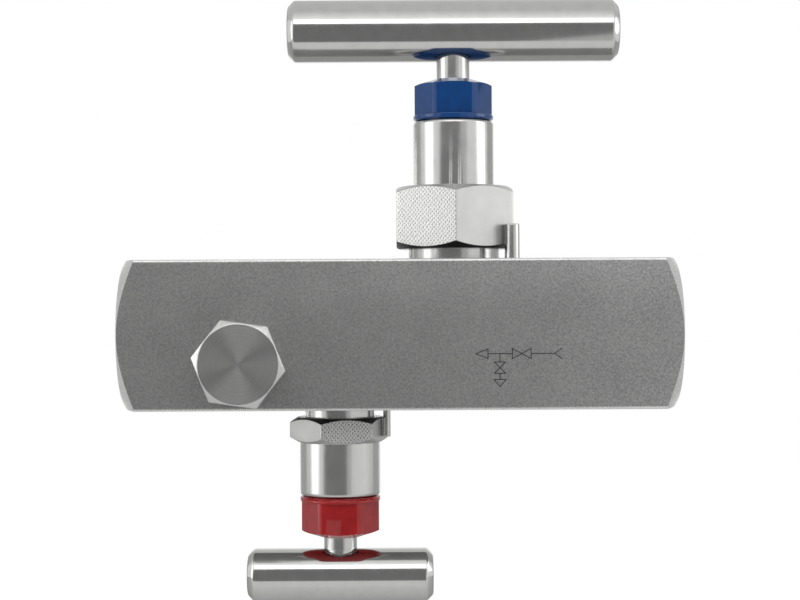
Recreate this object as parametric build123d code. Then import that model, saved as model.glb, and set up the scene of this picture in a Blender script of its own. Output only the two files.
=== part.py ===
from build123d import *
import os
from dataclasses import dataclass
from math import cos, radians, sin, sqrt, tan

# Two-valve block-and-bleed manifold for instruments, in millimetres.
#
# One square steel bar is the body. The process line enters at the inlet port and leaves at
# the outlet port, both along X. The isolation valve on top opens the way between them, and
# the bleed valve underneath lets the outlet side down to the vent port, which is plugged.
# Both valves are non-rotating-tip needle valves and are built alike by the same functions.
#
# +Z points up along the isolation valve's stem and +X points out of the inlet port. The
# origin is on the inlet port's axis, where its thread begins. The front, with the vent
# plug, faces -Y. Threads are plain cylinders of their mean size.

# ---- the block ----
BAR_WIDTH = 31.75  # 1-1/4 in square bar, across its flats
BLOCK_LENGTH = 119.0
BLOCK_EDGE_BREAK = 0.5  # chamfer along the four long edges
END_DISC_DIAMETER = 31.2  # flat disc left on each end where the corners are turned away
END_TURNING_ANGLE = 30.0  # slope of the turned corners, from the end face

# ---- process ports, 1/4 in taper thread ----
PORT_BORE = 13.2
PORT_MOUTH = 14.8  # 90 degree countersink
PORT_DEPTH = 14.0  # of the threaded wall

# ---- drillings inside the block ----
PASSAGE_BORE = 4.5
PASSAGE_OFFSET = 3.2  # inlet passage below the bar's axis, outlet passage above it
SEAT_BORE = 4.0  # the hole that each stem tip closes
SEAT_DROP = 0.25  # each seat lies this far below the passage that opens beside it
CHAMBER_BORE = 10.0
VENT_DRILLING = 3.0
DRILL_POINT_ANGLE = 118.0
DRILL_TIP_FLAT = 0.4  # diameter of the flat that the drill's chisel edge leaves

# ---- places along the block ----
ISOLATION_FROM_INLET = 47.7  # from the inlet end face to the isolation valve
VALVE_SPACING = 25.0
VENT_FROM_BLEED = 20.0
VENT_BELOW_AXIS = 5.8

# ---- vent port and its plug ----
VENT_PORT_DEPTH = 13.0
PLUG_HEX = 17.0  # across flats
PLUG_HEAD_HEIGHT = 8.2
PLUG_FACE_DIAMETER = 16.5  # flat disc inside the chamfer
PLUG_HEX_TURN = -8.2  # a vertex lies this far above the +X direction
PLUG_SHANK = 7.6
PLUG_POINT_CHAMFER = 1.0
THREAD_CLEARANCE = 0.03  # between a plain thread and its hole, on the radius

BEYOND_CORNERS = 1.0  # how far a turning profile reaches past the corners that it cuts

# ---- bonnets ----
HEX_CHAMFER_ANGLE = 30.0
HEX_FACE_RATIO = 0.95  # flat disc on a bonnet hexagon's ends, as a share of its flats
BARREL_DIAMETER = 17.45
BARREL_EDGE_RADIUS = 0.9
SPIGOT_LENGTH = 8.0  # from the block's face down to the seal
SEAL_THICKNESS = 0.9
SEAL_BORE = 11.0
SEAL_CLEARANCE = 0.2  # in its bore, on the radius

# ---- stem and tip ----
STEM_DIAMETER = 7.2  # where it shows between cap and handle
JOURNAL_DIAMETER = 8.0  # through the packing and the gland nut
SHOULDER_DIAMETER = 9.0
SHOULDER_LENGTH = 5.5
BACK_SEAT_ANGLE = 45.0
STROKE = 3.0
STROKE_MARGIN = 0.2  # left between shoulder and back seat when fully open
TIP_DIAMETER = 6.0
TIP_CONE_ANGLE = 60.0  # included
TIP_END_DIAMETER = 1.6
TIP_SEAT_GAP = 0.06  # axial, when closed
TIP_HEAD_DIAMETER = 5.4
TIP_HEAD_HEIGHT = 1.6
TIP_NECK_DIAMETER = 3.4
TIP_NECK_HEIGHT = 1.0
TIP_CLEARANCE = 0.06  # between the tip's head and its socket, all round
RUNNING_CLEARANCE = 0.06  # of the stem in what it turns in, on the radius

# ---- packing and gland ----
PACKING_BORE = 12.0  # of the bonnet, also the gland nut's thread
PACKING_WASHER = 1.2
PACKING_RING_COUNT = 3
PACKING_RING_HEIGHT = 1.5
GLAND_BUSH_HEIGHT = 3.0
GLAND_THREAD_LENGTH = 7.0
GLAND_HEX = 12.0
GLAND_HEX_HEIGHT = 6.8
GLAND_HEX_GAP = 0.3  # from the barrel's end to the hexagon, left for taking up wear

# ---- dust caps ----
CAP_HEX = 15.0
CAP_CORNER_RADIUS = 0.8
CAP_HEIGHT = 8.95
CAP_LIP_DIAMETER = 17.4
CAP_LIP_HEIGHT = 1.1
CAP_LIP_CHAMFER = 0.3
CAP_FACE_DIAMETER = 8.4
CAP_CHAMFER_ANGLE = 18.0
CAP_GAP = 0.1  # from the barrel's end to the cap
CAP_SOCKET_CLEARANCE = 0.05  # on each flat of the gland nut
CAP_TOP_WALL = 1.75
CAP_HOLE = 7.7

# ---- handles ----
HANDLE_END_CHAMFER = 1.4
HANDLE_END_RADIUS = 1.0  # rounds both edges of that chamfer
HANDLE_WALL = 3.0  # left beyond the stem's end
HANDLE_FIT = 0.03  # of the stem's end in its hole, on the radius
SCREW_DIAMETER = 4.8
SCREW_INSET = 0.5  # of its head end below the bar's surface
SCREW_SOCKET = 2.5  # hexagon key size
SCREW_SOCKET_DEPTH = 1.5
SCREW_POINT_CHAMFER = 0.5
STEM_FLAT_DEPTH = 0.5  # flat that the screw bears on
STEM_FLAT_LENGTH = 5.8
STEM_END_CHAMFER = 0.4

# ---- lock pins, which stop the bonnets from turning ----
PIN_CLEARANCE = 0.08  # between a pin and the hexagon's face
PIN_DEPTH = 6.0  # in the block
PIN_CHAMFER = 0.25


@dataclass
class Valve:
    """What differs between the two valves. Levels are distances outward from the block's face."""

    name: str
    neck_diameter: float
    neck_height: float
    hex_flats: float
    hex_height: float
    hex_turn: float  # from a flat to the front, counter-clockwise seen from the handle
    barrel_height: float
    stem_showing: float  # between cap and handle when closed
    stem_end: float  # diameter of the stem's end in the handle
    bar_diameter: float
    bar_length: float
    pin_diameter: float
    pin_height: float
    pin_face: int  # which hexagon face the pin locks, counted from the front one
    pin_along_face: float  # from the middle of that face

    @property
    def hex_top(self):
        return self.neck_height + self.hex_height

    @property
    def barrel_top(self):
        return self.hex_top + self.barrel_height

    @property
    def cap_bottom(self):
        return self.barrel_top + CAP_GAP

    @property
    def cap_top(self):
        return self.cap_bottom + CAP_HEIGHT

    @property
    def gland_hex_bottom(self):
        return self.barrel_top + GLAND_HEX_GAP

    @property
    def gland_top(self):
        return self.gland_hex_bottom + GLAND_HEX_HEIGHT

    @property
    def bush_top(self):
        return self.barrel_top - GLAND_THREAD_LENGTH

    @property
    def packing_top(self):
        return self.bush_top - GLAND_BUSH_HEIGHT

    @property
    def washer_top(self):
        return self.packing_top - PACKING_RING_COUNT * PACKING_RING_HEIGHT

    @property
    def packing_floor(self):
        return self.washer_top - PACKING_WASHER

    @property
    def bar_underside(self):
        return self.cap_top + self.stem_showing

    @property
    def bar_axis(self):
        return self.bar_underside + self.bar_diameter / 2

    @property
    def stem_top(self):
        return self.bar_axis + self.bar_diameter / 2 - HANDLE_WALL


ISOLATION = Valve(
    name="isolation",
    neck_diameter=19.7,
    neck_height=2.3,
    hex_flats=25.0,
    hex_height=13.5,
    hex_turn=30.0,
    barrel_height=14.3,
    stem_showing=3.9,
    stem_end=7.2,
    bar_diameter=13.5,
    bar_length=71.8,
    pin_diameter=3.175,
    pin_height=7.4,
    pin_face=0,
    pin_along_face=5.75,
)

BLEED = Valve(
    name="bleed",
    neck_diameter=15.0,
    neck_height=2.15,
    hex_flats=19.05,
    hex_height=5.4,
    hex_turn=-10.5,
    barrel_height=11.65,
    stem_showing=2.6,
    stem_end=6.3,
    bar_diameter=11.5,
    bar_length=40.3,
    pin_diameter=1.6,
    pin_height=6.45,
    pin_face=-1,
    pin_along_face=-1.24,
)

# ---- levels and places that follow from the sizes above ----
HALF_BAR = BAR_WIDTH / 2
INLET_END = (PORT_MOUTH - PORT_BORE) / 2  # the inlet end face lies this far beyond the origin
OUTLET_END = INLET_END - BLOCK_LENGTH
ISOLATION_X = INLET_END - ISOLATION_FROM_INLET
BLEED_X = ISOLATION_X - VALVE_SPACING
VENT_X = BLEED_X - VENT_FROM_BLEED
SEAT_HEIGHT = PASSAGE_OFFSET - PASSAGE_BORE / 2 - SEAT_DROP  # of each seat above the bar's axis
SEAT_LEVEL = SEAT_HEIGHT - HALF_BAR
SEAL_LEVEL = -SPIGOT_LENGTH - SEAL_THICKNESS
SHOULDER_TOP = SEAL_LEVEL + SHOULDER_LENGTH
BACK_SEAT_LEVEL = SHOULDER_TOP + STROKE + STROKE_MARGIN


def turned(*outline):
    """A solid of revolution about Z from (radius, level) points."""
    profile = make_face(Polyline(*[(radius, 0, level) for radius, level in outline], close=True))
    return revolve(profile, Axis.Z)


def tube(outer, bore, bottom, top):
    """A plain ring between two levels, given by its diameters."""
    ring = Cylinder(outer / 2, top - bottom) - Cylinder(bore / 2, top - bottom)
    return Pos(0, 0, (bottom + top) / 2) * ring


def rod(diameter, bottom, top):
    """A plain round bar between two levels."""
    return Pos(0, 0, (bottom + top) / 2) * Cylinder(diameter / 2, top - bottom)


def hexagon(flats, bottom, top, turn=0.0, corner_radius=0.0):
    """A hexagonal prism with a flat to the front, turned counter-clockwise about Z."""
    outline = RegularPolygon(flats / 2, 6, major_radius=False, rotation=turn)
    if corner_radius:
        outline = fillet(outline.vertices(), corner_radius)
    return Pos(0, 0, bottom) * extrude(outline, top - bottom)


def chamfered_hexagon(flats, bottom, top, turn, face_diameter, angle, both_ends=True, corner_radius=0.0):
    """A hexagon whose corners are turned away by a cone at its top, and at its bottom too if asked."""
    face = face_diameter / 2
    beyond = flats / 2 / cos(radians(30)) + BEYOND_CORNERS
    drop = (beyond - face) * tan(radians(angle))
    if both_ends:
        lower_end = [(0, bottom), (face, bottom), (beyond, bottom + drop)]
    else:
        lower_end = [(0, bottom), (beyond, bottom)]
    upper_end = [(beyond, top - drop), (face, top), (0, top)]
    return hexagon(flats, bottom, top, turn, corner_radius) & turned(*lower_end, *upper_end)


def drilled_hole(diameter, start, end):
    """A drilled hole from start to the small flat at the end of its point."""
    depth = (Vector(*end) - Vector(*start)).length
    flat = DRILL_TIP_FLAT / 2
    point = (diameter / 2 - flat) / tan(radians(DRILL_POINT_ANGLE / 2))
    drill = turned((0, 0), (diameter / 2, 0), (diameter / 2, depth - point), (flat, depth), (0, depth))
    return Plane(origin=start, z_dir=Vector(*end) - Vector(*start)) * drill


def place(valve):
    """Where a valve's own frame stands on the block: outward is up for one and down for the other."""
    if valve is ISOLATION:
        return Pos(ISOLATION_X, 0, HALF_BAR)
    return Pos(BLEED_X, 0, -HALF_BAR) * Rotation(0, 180, 0)


def pin_place(valve):
    """The lock pin's axis in the valve's frame, against the face that it locks."""
    facing = radians(valve.hex_turn + 60 * valve.pin_face - 90)
    out = valve.hex_flats / 2 + valve.pin_diameter / 2 + PIN_CLEARANCE
    along = valve.pin_along_face
    return Pos(out * cos(facing) - along * sin(facing), out * sin(facing) + along * cos(facing), 0)


# ---- the block and what is drilled in it ----
def bar_with_turned_ends():
    """Square bar whose corners are turned to a cone at both ends, which bows the ends of its faces."""
    bar = Box(BLOCK_LENGTH, BAR_WIDTH, BAR_WIDTH)
    bar = chamfer(bar.edges().filter_by(Axis.X), BLOCK_EDGE_BREAK)
    corner = HALF_BAR * sqrt(2) + BEYOND_CORNERS
    disc = END_DISC_DIAMETER / 2
    end = BLOCK_LENGTH / 2
    shoulder = end - (corner - disc) * tan(radians(END_TURNING_ANGLE))
    lathe = turned((0, -end), (disc, -end), (corner, -shoulder), (corner, shoulder), (disc, end), (0, end))
    return Pos(INLET_END - end, 0, 0) * (bar & Rotation(0, 90, 0) * lathe)


def process_port():
    """One port, opening along +X, with its threaded wall starting at the origin."""
    return Rotation(0, -90, 0) * turned(
        (0, -INLET_END),
        (PORT_MOUTH / 2, -INLET_END),
        (PORT_BORE / 2, 0),
        (PORT_BORE / 2, PORT_DEPTH),
        (0, PORT_DEPTH),
    )


def valve_cavity(valve):
    """What is bored in the block for one valve, in the valve's frame."""
    bore = valve.neck_diameter / 2 + THREAD_CLEARANCE
    chamber = CHAMBER_BORE / 2
    seat = SEAT_BORE / 2
    passage = -HALF_BAR - PASSAGE_OFFSET
    stepped = turned(
        (0, 0), (bore, 0), (bore, SEAL_LEVEL), (chamber, SEAL_LEVEL), (chamber, SEAT_LEVEL),
        (seat, SEAT_LEVEL), (seat, passage), (0, passage),
    )
    pin_hole = rod(valve.pin_diameter + 2 * THREAD_CLEARANCE, -PIN_DEPTH, 0)
    return stepped + pin_place(valve) * pin_hole


def vent_drillings():
    """The vent port in the front face, and the slanted hole from it to the bleed chamber."""
    port = Plane(origin=(VENT_X, -HALF_BAR, -VENT_BELOW_AXIS), z_dir=(0, 1, 0)) * rod(
        PORT_BORE, 0, VENT_PORT_DEPTH
    )
    mouth = (VENT_X - PORT_BORE / 2 + VENT_DRILLING / 2, -HALF_BAR, -VENT_BELOW_AXIS)
    chamber_middle = -(SEAT_HEIGHT + (HALF_BAR + SEAL_LEVEL)) / 2
    target = (BLEED_X - CHAMBER_BORE / 4, VENT_DRILLING / 2, chamber_middle)
    return port + drilled_hole(VENT_DRILLING, mouth, target)


def valve_block():
    inlet_passage = drilled_hole(
        PASSAGE_BORE, (-PORT_DEPTH, 0, -PASSAGE_OFFSET), (ISOLATION_X - PASSAGE_BORE, 0, -PASSAGE_OFFSET)
    )
    outlet_start = OUTLET_END + INLET_END + PORT_DEPTH
    outlet_passage = drilled_hole(
        PASSAGE_BORE, (outlet_start, 0, PASSAGE_OFFSET), (ISOLATION_X, 0, PASSAGE_OFFSET)
    )
    block = bar_with_turned_ends()
    block -= process_port()
    block -= Pos(OUTLET_END + INLET_END, 0, 0) * Rotation(0, 180, 0) * process_port()
    block -= inlet_passage
    block -= outlet_passage
    for valve in (ISOLATION, BLEED):
        block -= place(valve) * valve_cavity(valve)
    block -= vent_drillings()
    return block


def vent_plug():
    """Hexagon-headed taper plug that closes the vent port."""
    head = chamfered_hexagon(
        PLUG_HEX, 0, PLUG_HEAD_HEIGHT, PLUG_HEX_TURN, PLUG_FACE_DIAMETER, HEX_CHAMFER_ANGLE, both_ends=False
    )
    shank = rod(PORT_BORE - 2 * THREAD_CLEARANCE, -PLUG_SHANK, 0)
    shank = chamfer(shank.edges().group_by(Axis.Z)[0], PLUG_POINT_CHAMFER)
    seat = Plane(origin=(VENT_X, -HALF_BAR, -VENT_BELOW_AXIS), x_dir=(1, 0, 0), z_dir=(0, -1, 0))
    return seat * (head + shank)


# ---- one valve, each piece in the valve's frame ----
def bonnet(valve):
    """Screwed bonnet: spigot, neck, hexagon and barrel, bored for the stem and its packing."""
    neck = rod(valve.neck_diameter, -SPIGOT_LENGTH, valve.neck_height)
    nut = chamfered_hexagon(
        valve.hex_flats,
        valve.neck_height,
        valve.hex_top,
        valve.hex_turn,
        valve.hex_flats * HEX_FACE_RATIO,
        HEX_CHAMFER_ANGLE,
    )
    barrel = rod(BARREL_DIAMETER, valve.hex_top, valve.barrel_top)
    barrel = fillet(barrel.edges().group_by(Axis.Z)[-1], BARREL_EDGE_RADIUS)
    lower = SHOULDER_DIAMETER / 2 + RUNNING_CLEARANCE
    guide = JOURNAL_DIAMETER / 2 + RUNNING_CLEARANCE
    cone = (lower - guide) / tan(radians(BACK_SEAT_ANGLE))
    stem_way = turned(
        (0, -SPIGOT_LENGTH),
        (lower, -SPIGOT_LENGTH),
        (lower, BACK_SEAT_LEVEL),
        (guide, BACK_SEAT_LEVEL + cone),
        (guide, valve.packing_floor),
        (PACKING_BORE / 2, valve.packing_floor),
        (PACKING_BORE / 2, valve.barrel_top),
        (0, valve.barrel_top),
    )
    return neck + nut + barrel - stem_way


def bonnet_seal(valve):
    """Soft iron ring crushed between the bonnet's spigot and the bore's floor."""
    return tube(valve.neck_diameter - 2 * SEAL_CLEARANCE, SEAL_BORE, SEAL_LEVEL, -SPIGOT_LENGTH)


def lock_pin(valve):
    pin = rod(valve.pin_diameter, -PIN_DEPTH, valve.pin_height)
    pin = chamfer(pin.edges().group_by(Axis.Z)[-1], PIN_CHAMFER)
    return pin_place(valve) * pin


def packing_ring(bottom, height, clearance):
    """A ring that fills the packing bore around the stem."""
    outer = PACKING_BORE - 2 * THREAD_CLEARANCE
    return tube(outer, JOURNAL_DIAMETER + 2 * clearance, bottom, bottom + height)


def packing_washer(valve):
    return packing_ring(valve.packing_floor, PACKING_WASHER, RUNNING_CLEARANCE)


def packing_rings(valve):
    """The stack of soft rings, kept as separate solids."""
    levels = [valve.washer_top + i * PACKING_RING_HEIGHT for i in range(PACKING_RING_COUNT)]
    rings = [packing_ring(level, PACKING_RING_HEIGHT, RUNNING_CLEARANCE / 2) for level in levels]
    return Compound(children=rings)


def gland_bush(valve):
    return packing_ring(valve.packing_top, GLAND_BUSH_HEIGHT, RUNNING_CLEARANCE)


def gland_nut(valve):
    """Screws down on the bush, and carries the stem's driving thread in its bore."""
    screwed = rod(PACKING_BORE - 2 * THREAD_CLEARANCE, valve.bush_top, valve.gland_hex_bottom)
    head = hexagon(GLAND_HEX, valve.gland_hex_bottom, valve.gland_top)
    return screwed + head - rod(JOURNAL_DIAMETER + 2 * RUNNING_CLEARANCE, valve.bush_top, valve.gland_top)


def dust_cap(valve):
    """Moulded cap, coloured for the valve's duty, pushed over the gland nut."""
    body = chamfered_hexagon(
        CAP_HEX,
        valve.cap_bottom,
        valve.cap_top,
        0,
        CAP_FACE_DIAMETER,
        CAP_CHAMFER_ANGLE,
        both_ends=False,
        corner_radius=CAP_CORNER_RADIUS,
    )
    lip = rod(CAP_LIP_DIAMETER, valve.cap_bottom, valve.cap_bottom + CAP_LIP_HEIGHT)
    lip = chamfer(lip.edges().group_by(Axis.Z)[0], CAP_LIP_CHAMFER)
    lip = fillet(lip.edges().group_by(Axis.Z)[-1], CAP_LIP_CHAMFER / 2)
    corner_cut = rod(CAP_LIP_DIAMETER - 2 * CAP_LIP_CHAMFER, valve.cap_bottom, valve.cap_top)
    socket_flats = GLAND_HEX + 2 * CAP_SOCKET_CLEARANCE
    socket = hexagon(socket_flats, valve.cap_bottom, valve.cap_top - CAP_TOP_WALL)
    return (body & corner_cut) + lip - socket - rod(CAP_HOLE, valve.cap_bottom, valve.cap_top)


def stem(valve):
    """Turned stem: socket for the tip, shoulder, journal, showing part and the handle's seat."""
    journal_top = valve.gland_top - STROKE - STROKE_MARGIN
    shoulder = SHOULDER_DIAMETER / 2
    journal = JOURNAL_DIAMETER / 2
    cone = (shoulder - journal) / tan(radians(BACK_SEAT_ANGLE))
    body = turned(
        (0, SEAL_LEVEL),
        (shoulder, SEAL_LEVEL),
        (shoulder, SHOULDER_TOP),
        (journal, SHOULDER_TOP + cone),
        (journal, journal_top),
        (STEM_DIAMETER / 2, journal_top),
        (STEM_DIAMETER / 2, valve.bar_underside),
        (0, valve.bar_underside),
    )
    end = rod(valve.stem_end, journal_top, valve.stem_top)
    end = chamfer(end.edges().group_by(Axis.Z)[-1], STEM_END_CHAMFER)
    flat = Pos(0, valve.stem_end - STEM_FLAT_DEPTH, valve.bar_axis) * Box(
        valve.stem_end, valve.stem_end, STEM_FLAT_LENGTH
    )
    socket_top = SEAL_LEVEL + TIP_NECK_HEIGHT + TIP_HEAD_HEIGHT + TIP_CLEARANCE
    neck_way = rod(TIP_NECK_DIAMETER + 2 * TIP_CLEARANCE, SEAL_LEVEL, socket_top)
    head_way = rod(
        TIP_HEAD_DIAMETER + 2 * TIP_CLEARANCE, SEAL_LEVEL + TIP_NECK_HEIGHT - TIP_CLEARANCE, socket_top
    )
    return body + end - flat - neck_way - head_way


def stem_tip(valve):
    """Non-rotating tip: its cone closes the seat and its button head hangs in the stem's socket."""
    slope = tan(radians(TIP_CONE_ANGLE / 2))
    edge = SEAT_LEVEL + TIP_SEAT_GAP
    head_bottom = SEAL_LEVEL + TIP_NECK_HEIGHT
    return turned(
        (0, edge - (SEAT_BORE - TIP_END_DIAMETER) / 2 / slope),
        (TIP_END_DIAMETER / 2, edge - (SEAT_BORE - TIP_END_DIAMETER) / 2 / slope),
        (TIP_DIAMETER / 2, edge + (TIP_DIAMETER - SEAT_BORE) / 2 / slope),
        (TIP_DIAMETER / 2, SEAL_LEVEL - TIP_CLEARANCE),
        (TIP_NECK_DIAMETER / 2, SEAL_LEVEL - TIP_CLEARANCE),
        (TIP_NECK_DIAMETER / 2, head_bottom),
        (TIP_HEAD_DIAMETER / 2, head_bottom),
        (TIP_HEAD_DIAMETER / 2, head_bottom + TIP_HEAD_HEIGHT),
        (0, head_bottom + TIP_HEAD_HEIGHT),
    )


def handle_bar(valve):
    """Cross bar with rounded chamfers, a blind hole for the stem and a tapped one for its screw."""
    bar = Cylinder(valve.bar_diameter / 2, valve.bar_length)
    bar = chamfer(bar.edges().filter_by(GeomType.CIRCLE), HANDLE_END_CHAMFER)
    bar = fillet(bar.edges().filter_by(GeomType.CIRCLE), HANDLE_END_RADIUS)
    bar = Pos(0, 0, valve.bar_axis) * Rotation(0, 90, 0) * bar
    hole = rod(valve.stem_end + 2 * HANDLE_FIT, valve.bar_underside, valve.stem_top + HANDLE_FIT)
    screw_way = Plane(origin=(0, 0, valve.bar_axis), z_dir=(0, 1, 0)) * rod(
        SCREW_DIAMETER + 2 * THREAD_CLEARANCE, 0, valve.bar_diameter / 2
    )
    return bar - hole - screw_way


def handle_screw(valve):
    """Socket set screw that holds the bar on the stem, from the back."""
    point = valve.stem_end / 2 - STEM_FLAT_DEPTH
    head = valve.bar_diameter / 2 - SCREW_INSET
    screw = rod(SCREW_DIAMETER, point, head)
    screw = chamfer(screw.edges().group_by(Axis.Z)[0], SCREW_POINT_CHAMFER)
    screw -= hexagon(SCREW_SOCKET, head - SCREW_SOCKET_DEPTH, head)
    return Plane(origin=(0, 0, valve.bar_axis), z_dir=(0, 1, 0)) * screw


VALVE_PIECES = {
    "bonnet": bonnet,
    "bonnet_seal": bonnet_seal,
    "lock_pin": lock_pin,
    "packing_washer": packing_washer,
    "packing_rings": packing_rings,
    "gland_bush": gland_bush,
    "gland_nut": gland_nut,
    "dust_cap": dust_cap,
    "stem": stem,
    "stem_tip": stem_tip,
    "handle_bar": handle_bar,
    "handle_screw": handle_screw,
}


def main():
    os.makedirs("parts", exist_ok=True)
    pieces = {"valve_block": valve_block(), "vent_plug": vent_plug()}
    for valve in (ISOLATION, BLEED):
        for piece, make in VALVE_PIECES.items():
            pieces[f"{valve.name}_{piece}"] = place(valve) * make(valve)
    for node, shape in pieces.items():
        export_step(shape, f"parts/{node}.step")


main()
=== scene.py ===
# %% [markdown]
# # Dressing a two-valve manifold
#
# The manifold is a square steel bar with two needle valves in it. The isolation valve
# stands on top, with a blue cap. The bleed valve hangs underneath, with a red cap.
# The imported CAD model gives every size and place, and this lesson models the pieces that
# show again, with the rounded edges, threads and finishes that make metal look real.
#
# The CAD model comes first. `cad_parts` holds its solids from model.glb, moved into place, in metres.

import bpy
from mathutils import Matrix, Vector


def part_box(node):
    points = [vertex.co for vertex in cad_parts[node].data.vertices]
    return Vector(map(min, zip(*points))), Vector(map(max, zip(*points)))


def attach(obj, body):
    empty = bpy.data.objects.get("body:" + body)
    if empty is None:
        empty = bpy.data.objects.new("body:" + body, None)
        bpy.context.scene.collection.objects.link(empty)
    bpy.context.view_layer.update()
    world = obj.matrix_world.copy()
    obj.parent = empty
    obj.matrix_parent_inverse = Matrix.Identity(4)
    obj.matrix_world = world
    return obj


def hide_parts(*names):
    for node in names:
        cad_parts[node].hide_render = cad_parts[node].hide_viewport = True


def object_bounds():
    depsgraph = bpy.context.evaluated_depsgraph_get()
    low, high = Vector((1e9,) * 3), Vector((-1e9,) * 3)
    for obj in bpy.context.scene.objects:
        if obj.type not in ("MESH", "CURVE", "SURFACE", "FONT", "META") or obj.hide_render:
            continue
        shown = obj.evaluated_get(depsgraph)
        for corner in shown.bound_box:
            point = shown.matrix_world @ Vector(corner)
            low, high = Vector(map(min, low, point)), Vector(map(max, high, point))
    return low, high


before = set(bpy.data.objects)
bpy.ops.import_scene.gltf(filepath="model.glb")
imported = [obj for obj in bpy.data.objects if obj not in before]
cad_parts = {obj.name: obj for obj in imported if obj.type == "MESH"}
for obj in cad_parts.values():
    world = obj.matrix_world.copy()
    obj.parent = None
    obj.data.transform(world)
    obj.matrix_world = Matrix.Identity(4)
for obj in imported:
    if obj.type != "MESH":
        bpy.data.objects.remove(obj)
print("CAD nodes:", len(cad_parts))

# %% [markdown]
# The modules and the millimetre that the rest of the lesson uses come in here.

# %% Tools and units
from dataclasses import dataclass
from math import atan2, cos, pi, radians, sin, sqrt, tan

import bmesh
import bpy
from mathutils import Vector

MM = 0.001


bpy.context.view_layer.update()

# %% [markdown]
# ## The camera
#
# A long lens from straight in front keeps the square bar square. It looks a little above
# the bar's middle, because the upper valve is taller than the lower one. The camera turns
# by a third of a degree, as a camera on a stand often does.

# %% Camera
BLOCK_LOW, BLOCK_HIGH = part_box("valve_block")
HALF_BAR = (BLOCK_HIGH.z - BLOCK_LOW.z) / 2 / MM
BLOCK_MIDDLE = (BLOCK_HIGH.x + BLOCK_LOW.x) / 2 / MM
CAMERA_DISTANCE, CAMERA_HEIGHT = 381.0, 7.2
CAMERA_ROLL, LENS = 0.31, 78.75

camera = bpy.data.objects.new("camera", bpy.data.cameras.new("camera"))
bpy.context.scene.collection.objects.link(camera)
camera.data.lens = LENS
camera.data.clip_start = 0.01
camera.location = Vector((BLOCK_MIDDLE, -CAMERA_DISTANCE, CAMERA_HEIGHT)) * MM
camera.rotation_euler = (radians(90), radians(CAMERA_ROLL), 0)
bpy.context.scene.camera = camera
bpy.context.scene.view_settings.view_transform = "Standard"
print("camera:", LENS, "mm lens,", CAMERA_DISTANCE, "mm in front of the middle")

# %% [markdown]
# ## Small helpers
#
# Nearly everything below starts as a mesh primitive or is a tree of nodes. `start` adds a
# primitive and applies its scale and turn. `add` makes a node, and `fill` sets its sockets
# or links them. `wear` does so for the Principled shader that every new material has.


# %% Primitives and nodes
def start(name, primitive, **settings):
    """Add a primitive, name it, and apply its place, turn and scale to the mesh."""
    bpy.ops.object.select_all(action="DESELECT")
    primitive(**settings)
    piece = bpy.context.object
    piece.name = name
    bpy.ops.object.transform_apply(location=True, rotation=True, scale=True)
    return piece


def tree_of(owner):
    """The nodes of a material or a world."""
    owner.use_nodes = True
    return owner.node_tree


def fill(tree, node, **sockets):
    """Set or link sockets by name. In the names here, _ stands for a space."""
    for name, value in sockets.items():
        socket = node.inputs[name.replace("_", " ")]
        if isinstance(value, bpy.types.NodeSocket):
            tree.links.new(value, socket)
        else:
            socket.default_value = value
    return node


def add(tree, kind, **sockets):
    """A new node with its sockets filled."""
    return fill(tree, tree.nodes.new("ShaderNode" + kind), **sockets)


def wear(tree, **sockets):
    """Fill sockets of the shader that makes the surface."""
    fill(tree, tree.nodes["Principled BSDF"], **sockets)


def larger(tree, first, second):
    """The larger of two outputs."""
    node = add(tree, "Math")
    node.operation = "MAXIMUM"
    tree.links.new(first, node.inputs[0])
    tree.links.new(second, node.inputs[1])
    return node.outputs[0]


# %% [markdown]
# ## The studio
#
# Polished metal has no colour of its own: it shows the room. A photographer therefore
# builds the room for it. Here there are three soft boxes, one over the object and one on
# each side. Each is an area lamp, sized and placed one by one, because its edges show in the
# metal. The box on the right hangs higher, so the lower valve sees little of it.

# %% Soft boxes
STUDIO_MIDDLE = Vector((BLOCK_MIDDLE, 0, 0))


def soft_box(name, place, width, height, brightness, aim=None):
    """A rectangle of light. Its brightness is what a mirror would show of it, 1 being white."""
    lamp = bpy.data.lights.new(name, "AREA")
    lamp.shape = "RECTANGLE"
    lamp.size = width * MM
    lamp.size_y = height * MM
    lamp.energy = brightness * pi * lamp.size * lamp.size_y
    box = bpy.data.objects.new(name, lamp)
    bpy.context.scene.collection.objects.link(box)
    box.location = (STUDIO_MIDDLE + Vector(place)) * MM
    aim = Vector(aim or (-place[0], -place[1], -place[2]))
    box.rotation_euler = aim.to_track_quat("-Z", "Y").to_euler()
    print(f"{name}: {width} x {height} mm at {[round(value) for value in place]}")


def around(azimuth, distance, height):
    """A place round the object. Azimuth 0 is in front and 90 is on the right."""
    angle = radians(azimuth)
    return (distance * sin(angle), -distance * cos(angle), height)


soft_box("left_box", around(-75, 500, 30), 230, 440, 1.5)
soft_box("right_box", around(84, 500, 170), 260, 320, 1.6)
soft_box("overhead_box", (0, -405, 268), 460, 260, 1.6, aim=(0, 0, -1))

# %% [markdown]
# Cards do the rest. They are plain panels that only reflections see, so `visible_camera` is
# off, and a view from behind looks straight through them. The lens card leans back round
# the lens and gives the bars their dark band. The ceiling fades from the lamp to the back,
# and the table cards keep the white floor from burning out the underside of the bars.


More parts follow.
